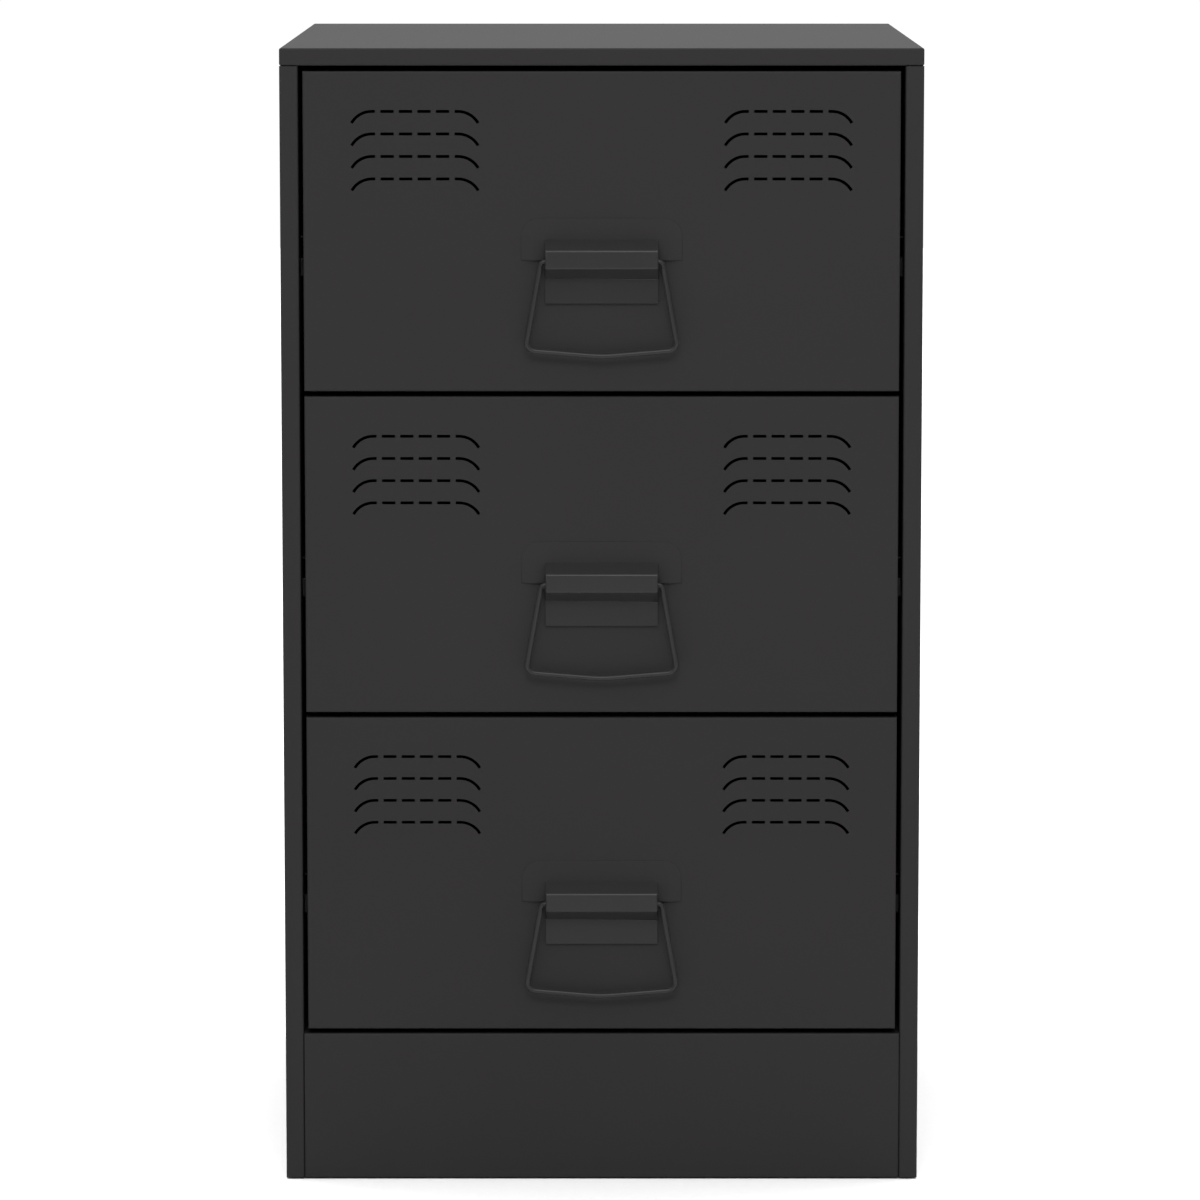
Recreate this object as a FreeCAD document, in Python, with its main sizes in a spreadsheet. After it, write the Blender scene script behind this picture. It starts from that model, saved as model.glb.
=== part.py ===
"""A narrow three-drawer chest of folded sheet steel, modelled as its separate pieces.

Frame: +Z up, the front faces -Y, origin at the middle of the footprint on the floor.
Sizes are millimetres. Each drawer's pieces are drawn in the drawer's own frame, whose
origin is the middle of the lower edge of the drawer front's outer face.
"""

import FreeCAD, Part
import os
import re
import Sketcher
from FreeCAD import Placement, Rotation, Vector

SIZES = {
    # case, outside
    "case_width": 345, "case_depth": 390, "case_height": 617,
    "handle_reach": 10, "gauge": 0.8, "seam": 0.3,
    # top tray
    "top_edge": 9.4, "tray_return": 12,
    # side panels and back
    "post_width": 9.9, "lip_depth": 22, "notch": 2, "rear_flange": 15, "end_flange": 12,
    "back_inset": 2.2,
    # plinth, floor of the case and the glides under it
    "plinth_top": 81, "plinth_depth": 20, "plinth_gap": 2.5, "floor_flange": 20, "foot_proud": 0.8,
    "foot_radius": 5.5, "foot_hole": 2.5, "foot_stem": 2.45, "stem_length": 5, "foot_front": -160,
    "foot_rear": 170,
    # screws: one kind holds the case, the same kind holds the drawers
    "head_radius": 3.6, "head_thick": 2, "shank_radius": 1.9, "shank_length": 6, "hole_radius": 2,
    "screw_edge": 5,
    "top_screw_x": 166, "top_screw_front": -120, "top_screw_rear": 150,
    "back_screw_x": 164, "back_screw_low": 40, "back_screw_mid": 300, "back_screw_high": 590,
    "plinth_screw_y": -179, "plinth_screw_low": 22, "plinth_screw_high": 62,
    "wall_hole_x": 60, "wall_hole_z": 580, "wall_hole_radius": 3,
    # drawers
    "drawer_bottom": 83.7, "drawer_pitch": 174.6,
    "front_width": 320.2, "front_height": 171.7, "front_depth": 16, "front_return": 12.8,
    "box_half": 148, "box_gauge": 0.7, "box_low": 5, "box_floor": 14, "box_top": 150, "box_length": 376,
    "top_ledge": 6, "front_ledge": 10, "back_ledge": 10, "tongue_inset": 11, "tongue_low": 1.6,
    "drawer_screw_low": 40, "drawer_screw_high": 120,
    "bumper_radius": 5, "bumper_length": 10.7, "bumper_x": 110, "bumper_z": 82,
    # runners
    "runner_gauge": 1.2, "runner_height": 22, "runner_reach": 20.7, "runner_z": 60,
    "runner_front": -166, "runner_rear": 190, "blade_reach": 12.5, "blade_front": 30,
    "blade_rear": 372, "web_height": 18, "web_short": 10, "glide_gap": 0.15, "glide_set": 0.5,
    "fixed_glide": 21.5, "moving_glide_front": 326, "moving_glide": 40, "moving_glide_inset": 4,
    # vent slots: rows of short dashes between two slots that bend down
    "vent_x": 100, "vent_drop": 21.4, "vent_row": 12.03, "vent_rows": 4, "slot": 1.6,
    "dash": 7.1, "dash_pitch": 9.9, "bent_start": 21.3, "bent_corner": 30, "bent_turn": 58,
    "bent_tail": 7.3, "bent_radius": 12.3,
    # pressed field above the handle: starts almost flush, stands out to an open lip
    "field_half": 43.5, "field_top": 78.2, "field_lip": 101.2, "field_rise": 0.3, "field_reach": 2.7,
    "field_corner": 10, "field_beyond": 0.1, "cutter": 1,
    # hinge bracket: a hat-shaped strip with closed ends, hollow behind its bends
    "hat_half": 30.3, "hat_sheet": 1.5, "hat_cheek": 1.2, "hat_start": 90, "hat_start_reach": 1.6,
    "hat_top": 95, "hat_low": 105, "hat_foot": 112, "hat_end": 124.2, "hat_fit": 0.1,
    "hollow_start": -4.36, "hollow_top": 0.9, "hollow_low": -0.8, "hollow_foot": 6.6,
    "hollow_behind": 0.5, "axle_reach": 5.6, "axle_drop": 101.5, "axle_hole": 1.48,
    # bail: one bent wire, whose two ends turn into the bracket
    "wire": 1.4, "pin_end": 24, "bail_top": 32.6, "bail_low": 41.1, "bail_drop": 47.6,
    "bail_apex": 51, "shoulder_bend": 3, "corner_bend": 5, "apex_bend": 75,
}
DRAWERS = {"lower": 0, "middle": 1, "upper": 2}
SIDES = {"left": -1, "right": 1}

FRONT = "(handle_reach - case_depth) / 2"
REAR = "(handle_reach + case_depth) / 2"
BACK = f"{REAR} - back_inset - gauge"
TRAY = "case_height - top_edge"
WALL = "case_width / 2"
PANEL_TOP = f"{TRAY} - seam"

doc = FreeCAD.newDocument("chest")
sheet = doc.addObject("Spreadsheet::Sheet", "Sizes")
parts = []


def fill_sheet():
    """Write every size into a cell of its own and give the cell its name."""
    for row, (alias, value) in enumerate(SIZES.items(), 1):
        sheet.set(f"A{row}", alias)
        sheet.set(f"B{row}", str(value))
        sheet.setAlias(f"B{row}", alias)
    doc.recompute()


def cells(text):
    """Turn the plain size names in an expression into references to the sheet."""
    return re.sub(r"[a-z_]+", lambda word: f"Sizes.{word[0]}" if word[0] in SIZES else word[0], text)


def value(text):
    """The present value of an expression, in millimetres."""
    return float(sheet.evalExpression(cells(text)))


def place(item, x="0", y="0", z="0"):
    """Bind an item's position to expressions."""
    for axis, position in zip("xyz", (x, y, z)):
        item.setExpression(f".Placement.Base.{axis}", cells(position))


def keep(item, label):
    """Name a finished sub-part; its label is its node's name."""
    item.Label = label
    parts.append(item)


def in_drawer(item, number):
    """Set a piece drawn in a drawer's frame at its level of the chest."""
    place(item, y=FRONT, z=f"drawer_bottom + {number} * drawer_pitch")


# ---- plain solids

def box(x, y, z):
    """A block between a low and a high position on each axis."""
    block = doc.addObject("Part::Box", "block")
    for length, (low, high) in zip(("Length", "Width", "Height"), (x, y, z)):
        block.setExpression(length, cells(f"({high}) - ({low})"))
    place(block, x[0], y[0], z[0])
    return block


def rod(radius, x, y, z):
    """A cylinder along the axis whose position is given as a low and a high end."""
    cylinder = doc.addObject("Part::Cylinder", "rod")
    cylinder.setExpression("Radius", cells(radius))
    if isinstance(x, tuple):
        cylinder.Placement = Placement(Vector(), Rotation(Vector(0, 1, 0), 90))
    elif isinstance(y, tuple):
        cylinder.Placement = Placement(Vector(), Rotation(Vector(1, 0, 0), -90))
    starts = []
    for position in (x, y, z):
        if isinstance(position, tuple):
            cylinder.setExpression("Height", cells(f"({position[1]}) - ({position[0]})"))
            position = position[0]
        starts.append(position)
    place(cylinder, *starts)
    return cylinder


def join(solids):
    """Make one solid of several that touch or overlap."""
    if len(solids) == 1:
        return solids[0]
    fuse = doc.addObject("Part::MultiFuse", "join")
    fuse.Shapes = solids
    fuse.Refine = True
    return fuse


def cut(base, tools):
    """Take the tools away from a solid."""
    result = doc.addObject("Part::Cut", "cut")
    result.Base = base
    result.Tool = join(tools)
    return result


def group(solids):
    """Like pieces in one node, each still a solid of its own."""
    compound = doc.addObject("Part::Compound", "group")
    compound.Links = solids
    return compound


def outwards(side, inner, outer):
    """A span on X from nearer the middle to nearer the wall, on either side."""
    if side > 0:
        return inner, outer
    return f"-({outer})", f"-({inner})"


def onto(side, position):
    """A position on X on either side of the middle."""
    return f"{side} * ({position})"


# ---- sketches

def sketch(body, plane, outlines, rounds=None, offset=None):
    """Closed outlines of corner positions, each bound to the sheet; rounds maps a corner of the
    first outline to its radius."""
    result = bare_sketch(body, plane, "outline", offset)
    for corners in outlines:
        draw_lines(result, corners, closed=True)
    round_corners(result, outlines[0], rounds or {}, closed=True)
    return result


def draw_lines(result, corners, closed):
    """Straight lines through corner positions, joined end to end and bound to the sheet."""
    first = result.GeometryCount
    points = [Vector(value(x), value(y), 0) for x, y in corners]
    ends = points[1:] + points[:1] if closed else points[1:]
    for start, end in zip(points, ends):
        result.addGeometry(Part.LineSegment(start, end), False)
    lines = result.GeometryCount - first
    joints = lines if closed else lines - 1
    for line in range(joints):
        after = first + (line + 1) % lines
        result.addConstraint(Sketcher.Constraint("Coincident", first + line, 2, after, 1))
    for index, (point, corner) in enumerate(zip(points, corners)):
        line, end = (first + index, 1) if index < lines else (first + lines - 1, 2)
        bind(result, "DistanceX", (line, end), point.x, corner[0])
        bind(result, "DistanceY", (line, end), point.y, corner[1])


def bind(result, kind, vertex, now, expression):
    """Hold one coordinate of a sketch point to an expression."""
    number = result.addConstraint(Sketcher.Constraint(kind, -1, 1, *vertex, now))
    result.setExpression(f"Constraints[{number}]", cells(expression))


def bare_sketch(body, plane, name, offset=None):
    """An empty sketch on one of the body's own planes, or set off from it by an expression."""
    result = body.newObject("Sketcher::SketchObject", name)
    result.AttachmentSupport = [(axis_of(body, plane), "")]
    result.MapMode = "FlatFace"
    if offset:
        result.setExpression(".AttachmentOffset.Base.z", cells(offset))
    return result


def draw_circle(result, x, y, radius):
    """A circle whose centre and radius are bound to the sheet."""
    centre = Vector(value(x), value(y), 0)
    circle = result.addGeometry(Part.Circle(centre, Vector(0, 0, 1), value(radius)), False)
    bind(result, "DistanceX", (circle, 3), centre.x, x)
    bind(result, "DistanceY", (circle, 3), centre.y, y)
    number = result.addConstraint(Sketcher.Constraint("Radius", circle, value(radius)))
    result.setExpression(f"Constraints[{number}]", cells(radius))


def axis_of(body, role):
    """One of the body's own axes or planes."""
    return next(item for item in body.Origin.OriginFeatures if item.Role == role)


def round_corners(result, corners, rounds, closed):
    """Round the listed corners; the corner itself stays as a construction point."""
    points = [Vector(value(x), value(y), 0) for x, y in corners]
    count = len(points)
    for index, radius in rounds.items():
        before = (index - 1) % count if closed else index - 1
        after = (index + 1) % count
        pick_before = (points[before] + points[index]) * 0.5
        pick_after = (points[after] + points[index]) * 0.5
        arc = result.GeometryCount
        result.fillet(before, index, pick_before, pick_after, value(radius), True, True)
        number = result.addConstraint(Sketcher.Constraint("Radius", arc, value(radius)))
        result.setExpression(f"Constraints[{number}]", cells(radius))


def pad(body, profile, length, both=False):
    """Give a profile its length, to one side of its plane or evenly to both."""
    feature = body.newObject("PartDesign::Pad", "pad")
    feature.Profile = profile
    feature.setExpression("Length", cells(length))
    feature.Midplane = both
    doc.recompute()
    return feature


def pocket(body, profile, length, both=False):
    """Cut a pocket and check that it really removed something."""
    before = body.Shape.Volume
    feature = body.newObject("PartDesign::Pocket", "pocket")
    feature.Profile = profile
    feature.setExpression("Length", cells(length))
    feature.Midplane = both
    doc.recompute()
    if body.Shape.Volume > before - 0.1:
        raise RuntimeError(f"{body.Name}: a pocket cut nothing")
    return feature


def rectangle(low_x, high_x, low_y, high_y):
    """The four corners of a rectangle, counter-clockwise from the lowest."""
    return [(low_x, low_y), (high_x, low_y), (high_x, high_y), (low_x, high_y)]


# ---- screws, which also say where the holes go

def screw(axis, seat, into, across):
    """A pan-head screw seated at a position on one axis; into is the way its shank points, and
    across holds its other two positions in X, Y, Z order."""
    solids = []
    stages = (("head_radius", "head_thick", -into), ("shank_radius", "shank_length", into))
    for radius, length, way in stages:
        far = f"({seat}) + {way} * {length}"
        span = (seat, far) if way > 0 else (far, seat)
        position = list(across)
        position.insert("xyz".index(axis), span)
        solids.append(rod(radius, *position))
    return join(solids)


TOP_SCREWS = [(onto(side, "top_screw_x"), y)
              for side in SIDES.values() for y in ("top_screw_front", "top_screw_rear")]
BACK_SCREWS = [(onto(side, "back_screw_x"), z) for side in SIDES.values()
               for z in ("back_screw_low", "back_screw_mid", "back_screw_high")]
PLINTH_SCREWS = [("plinth_screw_y", z) for z in ("plinth_screw_low", "plinth_screw_high")]
FEET = [(onto(side, "top_screw_x"), y)
        for side in SIDES.values() for y in ("foot_front", "foot_rear")]
DRAWER_SCREW_HEIGHTS = ("drawer_screw_low", "drawer_screw_high")
DRAWER_FRONT_SCREW_X = "box_half + front_ledge / 2"
DRAWER_REAR_SCREW_Y = "box_length - screw_edge"


def on_side(places, side):
    """The places whose position on X is on the given side."""
    sign = f"{side} *"
    return [place for place in places if place[0].startswith(sign)]


# ---- the case

def top_panel():
    """A tray with four edges turned down and in; the case screws up into its returns."""
    half = WALL
    outer = box((f"-{half}", half), (FRONT, REAR), (TRAY, "case_height"))
    hollow = box((f"gauge - {half}", f"{half} - gauge"), (f"{FRONT} + gauge", f"{REAR} - gauge"),
                 (f"{TRAY} + gauge", "case_height - gauge"))
    mouth = box((f"tray_return - {half}", f"{half} - tray_return"),
                (f"{FRONT} + tray_return", f"{REAR} - tray_return"), (TRAY, f"{TRAY} + gauge"))
    holes = [rod("hole_radius", x, y, (TRAY, f"{TRAY} + gauge")) for x, y in TOP_SCREWS]
    keep(cut(outer, [hollow, mouth, *holes]), "top_panel")


def side_panel(name, side):
    """Skin, front post with its lip turned in, rear flange, and flanges at the top and foot."""
    tall = ("foot_proud", PANEL_TOP)
    behind_lip = (f"{FRONT} + lip_depth + notch", f"{BACK} - gauge")
    top_flange = (f"{PANEL_TOP} - gauge", PANEL_TOP)
    foot_flange = ("foot_proud", "foot_proud + gauge")
    sheets = [
        box(outwards(side, f"{WALL} - gauge", WALL), (FRONT, BACK), tall),
        box(outwards(side, f"{WALL} - post_width", WALL), (FRONT, f"{FRONT} + gauge"), tall),
        box(outwards(side, f"{WALL} - post_width", f"{WALL} - post_width + gauge"),
            (FRONT, f"{FRONT} + lip_depth"), tall),
        box(outwards(side, f"{WALL} - rear_flange", WALL), (f"{BACK} - gauge", BACK), tall),
        box(outwards(side, f"{WALL} - end_flange", WALL), behind_lip, top_flange),
        box(outwards(side, f"{WALL} - end_flange", WALL), behind_lip, foot_flange),
    ]
    holes = [rod("hole_radius", x, y, top_flange) for x, y in on_side(TOP_SCREWS, side)]
    holes += [rod("hole_radius", x, (f"{BACK} - gauge", BACK), z) for x, z in on_side(BACK_SCREWS, side)]
    holes += [rod("foot_hole", x, y, foot_flange) for x, y in on_side(FEET, side)]
    lip = outwards(side, f"{WALL} - post_width", f"{WALL} - post_width + gauge")
    holes += [rod("hole_radius", lip, y, z) for y, z in PLINTH_SCREWS]
    keep(cut(join(sheets), holes), f"side_panel_{name}")


def back_panel():
    """A flat sheet screwed to the side panels' rear flanges, with two holes for wall screws."""
    sheet_span = (BACK, f"{BACK} + gauge")
    skin = box((f"seam - {WALL}", f"{WALL} - seam"), sheet_span, ("foot_proud + seam", PANEL_TOP))
    holes = [rod("hole_radius", x, sheet_span, z) for x, z in BACK_SCREWS]
    holes += [rod("wall_hole_radius", onto(side, "wall_hole_x"), sheet_span, "wall_hole_z")
              for side in SIDES.values()]
    keep(cut(skin, holes), "back_panel")


def base_panel():
    """The floor of the case, a tray turned down on four sides and welded to the side panels."""
    half = f"{WALL} - gauge"
    front = f"{FRONT} + plinth_depth + plinth_gap"
    rear = f"{BACK} - gauge - seam"
    outer = box((f"-({half})", half), (front, rear), ("plinth_top - floor_flange", "plinth_top"))
    hollow = box((f"gauge - ({half})", f"{half} - gauge"), (f"{front} + gauge", f"{rear} - gauge"),
                 ("plinth_top - floor_flange", "plinth_top - gauge"))
    keep(cut(outer, [hollow]), "base_panel")


def plinth_panel():
    """The kick panel, a pan open to the rear, screwed to the lips of the side panels."""
    half = f"{WALL} - post_width - seam / 2"
    rear = f"{FRONT} + plinth_depth"
    outer = box((f"-({half})", half), (FRONT, rear), ("foot_proud", "plinth_top"))
    hollow = box((f"gauge - ({half})", f"{half} - gauge"), (f"{FRONT} + gauge", rear),
                 ("foot_proud + gauge", "plinth_top - gauge"))
    holes = [rod("hole_radius", outwards(side, f"{half} - gauge", half), y, z)
             for side in SIDES.values() for y, z in PLINTH_SCREWS]
    keep(cut(outer, [hollow, *holes]), "plinth_panel")


def foot_glides():
    """Four push-in plastic glides in the side panels' foot flanges."""
    feet = []
    for x, y in FEET:
        disc = rod("foot_radius", x, y, ("0", "foot_proud"))
        stem = rod("foot_stem", x, y, ("foot_proud", "foot_proud + stem_length"))
        feet.append(join([disc, stem]))
    keep(group(feet), "foot_glides")


def case_screws():
    """Four screws up into the top, six through the back and four behind the plinth."""
    screws = [screw("z", f"{PANEL_TOP} - gauge", 1, (x, y)) for x, y in TOP_SCREWS]
    screws += [screw("y", f"{BACK} + gauge", -1, (x, z)) for x, z in BACK_SCREWS]
    seat = f"{WALL} - post_width - seam / 2 - gauge"
    screws += [screw("x", onto(side, seat), side, (y, z))
               for side in SIDES.values() for y, z in PLINTH_SCREWS]
    keep(group(screws), "case_screws")


def runner_level(number):
    """The underside of a drawer's two runners."""
    return f"drawer_bottom + {number} * drawer_pitch + runner_z"


def case_runner(name, side, level, number):
    """A channel on its side, open to the middle, welded to the side panel."""
    low = runner_level(number)
    high = f"{low} + runner_height"
    outer = f"{WALL} - gauge"
    along = ("runner_front", "runner_rear")
    flange = outwards(side, f"{outer} - runner_reach", outer)
    sheets = [
        box(outwards(side, f"{outer} - runner_gauge", outer), along, (low, high)),
        box(flange, along, (low, f"{low} + runner_gauge")),
        box(flange, along, (f"{high} - runner_gauge", high)),
    ]
    keep(join(sheets), f"case_runner_{level}_{name}")


def case_runner_glides():
    """Plastic blocks in the runners' mouths, under the blades of the drawers."""
    blocks = []
    for number in DRAWERS.values():
        low = runner_level(number)
        for side in SIDES.values():
            inner = f"{WALL} - gauge - runner_reach + glide_set"
            outer = f"{WALL} - gauge - runner_gauge"
            top = f"{low} + (runner_height - runner_gauge) / 2 - glide_gap"
            along = ("runner_front", "runner_front + fixed_glide")
            blocks.append(box(outwards(side, inner, outer), along, (f"{low} + runner_gauge", top)))
    keep(group(blocks), "case_runner_glides")


# ---- a drawer, in its own frame

def drawer_front(level, number):
    """A pan turned back on four sides, with vent slots and the pressed field above the handle."""
    body = doc.addObject("PartDesign::Body", "front")
    half = "front_width / 2"
    inner = f"{half} - gauge"
    turned = f"{half} - front_return"
    walls = [(f"-({half})", "0"), (half, "0"), (half, "front_depth"), (turned, "front_depth"),
             (turned, "front_depth - gauge"), (inner, "front_depth - gauge"), (inner, "gauge"),
             (f"-({inner})", "gauge"), (f"-({inner})", "front_depth - gauge"),
             (f"-({turned})", "front_depth - gauge"), (f"-({turned})", "front_depth"),
             (f"-({half})", "front_depth")]
    pad(body, sketch(body, "XY_Plane", [walls]), "front_height")
    cover = rectangle(f"-({half})", half, "0", "front_depth")
    pad(body, sketch(body, "XY_Plane", [cover]), "gauge")
    pad(body, sketch(body, "XY_Plane", [cover], offset="front_height - gauge"), "gauge")
    press_field(body)
    cut_vents(body)
    for side in SIDES.values():
        cut_screw_holes(body, onto(side, DRAWER_FRONT_SCREW_X))
    in_drawer(body, number)
    keep(body, f"drawer_front_{level}")


def press_field(body):
    """Raise the field from a faint step at its top edge to an open lip at its lower edge."""
    top = "front_height - field_top"
    lip = "front_height - field_lip"
    above_top = f"{top} + field_beyond * (field_lip - field_top)"
    below_lip = f"{lip} - field_beyond * (field_lip - field_top)"
    further = "field_beyond * (field_reach - field_rise)"
    outline = rectangle("-field_half", "field_half", lip, top)
    rounds = {2: "field_corner", 3: "field_corner"}
    pad(body, sketch(body, "XZ_Plane", [outline], rounds), "field_reach + cutter")
    clear_of_all = "-(field_reach + 2 * cutter)"
    above = [(f"{further} - field_rise", above_top), (f"-(field_reach + {further})", below_lip),
             (clear_of_all, below_lip), (clear_of_all, above_top)]
    pocket(body, sketch(body, "YZ_Plane", [above]), "2 * (field_half + cutter)", both=True)
    under = [("gauge - field_rise", top), ("gauge - field_reach", lip),
             ("gauge + cutter", lip), ("gauge + cutter", top)]
    pocket(body, sketch(body, "YZ_Plane", [under]), "2 * (field_half - 2.5 * gauge)", both=True)


def cut_vents(body):
    """One row of slots, repeated down the front and across to the other group."""
    row = "front_height - vent_drop"
    slots = []
    for step in (-1.5, -0.5, 0.5, 1.5):
        middle = f"-vent_x + {step} * dash_pitch"
        slots.append(rectangle(f"{middle} - dash / 2", f"{middle} + dash / 2",
                               f"{row} - slot / 2", f"{row} + slot / 2"))
    profile = sketch(body, "XZ_Plane", slots)
    features = [pocket(body, profile, "2 * gauge", both=True)]
    for side in SIDES.values():
        features.append(pocket(body, bent_slot(body, side, row), "2 * gauge", both=True))
    repeat = body.newObject("PartDesign::MultiTransform", "vents")
    repeat.Originals = features
    down = body.newObject("PartDesign::LinearPattern", "rows")
    down.Direction = (axis_of(body, "Z_Axis"), [""])
    down.Reversed = True
    down.setExpression("Length", cells("(vent_rows - 1) * vent_row"))
    down.setExpression("Occurrences", cells("vent_rows"))
    across = body.newObject("PartDesign::LinearPattern", "groups")
    across.Direction = (axis_of(body, "X_Axis"), [""])
    across.setExpression("Length", cells("2 * vent_x"))
    across.Occurrences = 2
    repeat.Transformations = [down, across]
    body.Tip = repeat
    doc.recompute()


def bent_slot(body, side, row):
    """A slot that runs level beside the dashes and then bends down."""

    def at(x, drop):
        return f"-vent_x + {side} * ({x})", f"{row} - ({drop})"

    end_x = "bent_corner + bent_tail * cos(bent_turn)"
    end_drop = "bent_tail * sin(bent_turn)"
    cap_x = "slot / 2 * sin(bent_turn)"
    cap_z = "slot / 2 * cos(bent_turn)"
    miter = "slot / 2 * tan(bent_turn / 2)"
    corners = [at("bent_start", "slot / 2"), at(f"bent_corner - {miter}", "slot / 2"),
               at(f"{end_x} - {cap_x}", f"{end_drop} + {cap_z}"),
               at(f"{end_x} + {cap_x}", f"{end_drop} - {cap_z}"),
               at(f"bent_corner + {miter}", "-slot / 2"), at("bent_start", "-slot / 2")]
    rounds = {1: "bent_radius - slot / 2", 4: "bent_radius + slot / 2"}
    return sketch(body, "XZ_Plane", [corners], rounds)


def cut_screw_holes(body, x):
    """Two holes through the return that takes the drawer side's flange."""
    profile = bare_sketch(body, "XZ_Plane", "holes", "-front_depth")
    for height in DRAWER_SCREW_HEIGHTS:
        draw_circle(profile, x, height, "hole_radius")
    pocket(body, profile, "4 * gauge", both=True)


def drawer_side(name, side, level, number):
    """A wall with a stiffening ledge and a flange for the front, both turned outwards."""
    outer = "box_half"
    inner = "box_half - box_gauge"
    length = ("front_depth", "box_length")
    flange = ("front_depth", "front_depth + box_gauge")
    sheets = [
        box(outwards(side, inner, outer), length, ("box_low", "box_top")),
        box(outwards(side, inner, "box_half + top_ledge"), length, ("box_top - box_gauge", "box_top")),
        box(outwards(side, inner, "box_half + front_ledge"), flange, ("box_low", "box_top")),
    ]
    holes = [rod("hole_radius", onto(side, DRAWER_FRONT_SCREW_X), flange, z) for z in DRAWER_SCREW_HEIGHTS]
    holes += [rod("hole_radius", outwards(side, inner, outer), DRAWER_REAR_SCREW_Y, z)
              for z in DRAWER_SCREW_HEIGHTS]
    item = cut(join(sheets), holes)
    in_drawer(item, number)
    keep(item, f"drawer_side_{level}_{name}")


def drawer_back(level, number):
    """A wall between the sides, with a flange turned forward at each end."""
    half = "box_half - box_gauge"
    tall = ("box_floor + box_gauge", "box_top")
    sheets = [box((f"-({half})", half), ("box_length - box_gauge", "box_length"), tall)]
    holes = []
    for side in SIDES.values():
        flange = outwards(side, f"{half} - box_gauge", half)
        sheets.append(box(flange, ("box_length - back_ledge", "box_length"), tall))
        holes += [rod("hole_radius", flange, DRAWER_REAR_SCREW_Y, z) for z in DRAWER_SCREW_HEIGHTS]
    item = cut(join(sheets), holes)
    in_drawer(item, number)
    keep(item, f"drawer_back_{level}")


def drawer_floor(level, number):
    """A sheet turned down along both sides, where it is spot-welded, and down behind the front."""
    half = "box_half - box_gauge"
    sheet_level = ("box_floor", "box_floor + box_gauge")
    tongue = ("-(box_half - tongue_inset)", "box_half - tongue_inset")
    sheets = [
        box((f"-({half})", half), ("front_depth", "box_length"), sheet_level),
        box(tongue, ("gauge", "front_depth"), sheet_level),
        box(tongue, ("gauge", "gauge + box_gauge"), ("tongue_low", "box_floor + box_gauge")),
    ]
    for side in SIDES.values():
        sheets.append(box(outwards(side, f"{half} - box_gauge", half), ("front_depth", "box_length"),
                          ("box_low", "box_floor + box_gauge")))
    item = join(sheets)
    in_drawer(item, number)
    keep(item, f"drawer_floor_{level}")


def drawer_runner(name, side, level, number):
    """A strip welded to the drawer side, with a blade that runs in the case's channel."""
    middle = "runner_z + runner_height / 2"
    sheets = [
        box(outwards(side, "box_half", "box_half + runner_gauge"), ("blade_front", "blade_rear - web_short"),
            (f"{middle} - web_height / 2", f"{middle} + web_height / 2")),
        box(outwards(side, "box_half", "box_half + blade_reach"), ("blade_front", "blade_rear"),
            (f"{middle} - runner_gauge / 2", f"{middle} + runner_gauge / 2")),
    ]
    item = join(sheets)
    in_drawer(item, number)
    keep(item, f"drawer_runner_{level}_{name}")


def drawer_glides(level, number):
    """Plastic pads above and below each blade's rear end, which keep the open drawer level."""
    middle = "runner_z + runner_height / 2"
    reach = "runner_height / 2 - runner_gauge - glide_gap"
    pads = []
    for side in SIDES.values():
        across = outwards(side, "box_half + moving_glide_inset", "box_half + blade_reach")
        along = ("moving_glide_front", "moving_glide_front + moving_glide")
        pads.append(box(across, along, (f"{middle} + runner_gauge / 2", f"{middle} + {reach}")))
        pads.append(box(across, along, (f"{middle} - ({reach})", f"{middle} - runner_gauge / 2")))
    item = group(pads)
    in_drawer(item, number)
    keep(item, f"drawer_glides_{level}")


def drawer_bumpers(level, number):
    """Two rubber buffers on the drawer's back, which meet the back panel."""
    along = ("box_length", "box_length + bumper_length")
    buffers = [rod("bumper_radius", onto(side, "bumper_x"), along, "bumper_z") for side in SIDES.values()]
    item = group(buffers)
    in_drawer(item, number)
    keep(item, f"drawer_bumpers_{level}")


def drawer_screws(level, number):
    """Four screws forward into the front's returns and four in through the sides to the back."""
    screws = []
    for side in SIDES.values():
        x = onto(side, DRAWER_FRONT_SCREW_X)
        for z in DRAWER_SCREW_HEIGHTS:
            screws.append(screw("y", "front_depth + box_gauge", -1, (x, z)))
            screws.append(screw("x", onto(side, "box_half"), -side, (DRAWER_REAR_SCREW_Y, z)))
    item = group(screws)
    in_drawer(item, number)
    keep(item, f"drawer_screws_{level}")


# ---- the handle, in its drawer's frame

def hinge_bracket(level, number):
    """A strip bent to a hat over the axle, closed by a cheek at each end, welded to the front."""
    body = doc.addObject("PartDesign::Body", "bracket")

    def at(reach, drop):
        return f"-({reach})", f"front_height - ({drop})"

    solid = [at("hat_start_reach", "hat_start"), at("handle_reach", "hat_top"), at("handle_reach", "hat_low"),
             at("hat_sheet", "hat_foot"), at("hat_sheet", "hat_end"), at("0", "hat_end"),
             at("0", "field_lip + hat_fit"), at("field_reach + hat_fit", "field_lip + hat_fit")]
    pad(body, sketch(body, "YZ_Plane", [solid]), "2 * hat_half", both=True)
    inner = "handle_reach - hat_sheet"
    hollow = [at("-hollow_behind", "hat_top + hollow_start"), at(inner, "hat_top + hollow_top"),
              at(inner, "hat_low + hollow_low"), at("-hollow_behind", "hat_low + hollow_foot")]
    pocket(body, sketch(body, "YZ_Plane", [hollow]), "2 * (hat_half - hat_cheek)", both=True)
    axle = bare_sketch(body, "YZ_Plane", "axle")
    draw_circle(axle, *at("axle_reach", "axle_drop"), "axle_hole")
    pocket(body, axle, "2 * hat_half + cutter", both=True)
    in_drawer(body, number)
    keep(body, f"hinge_bracket_{level}")


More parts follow.
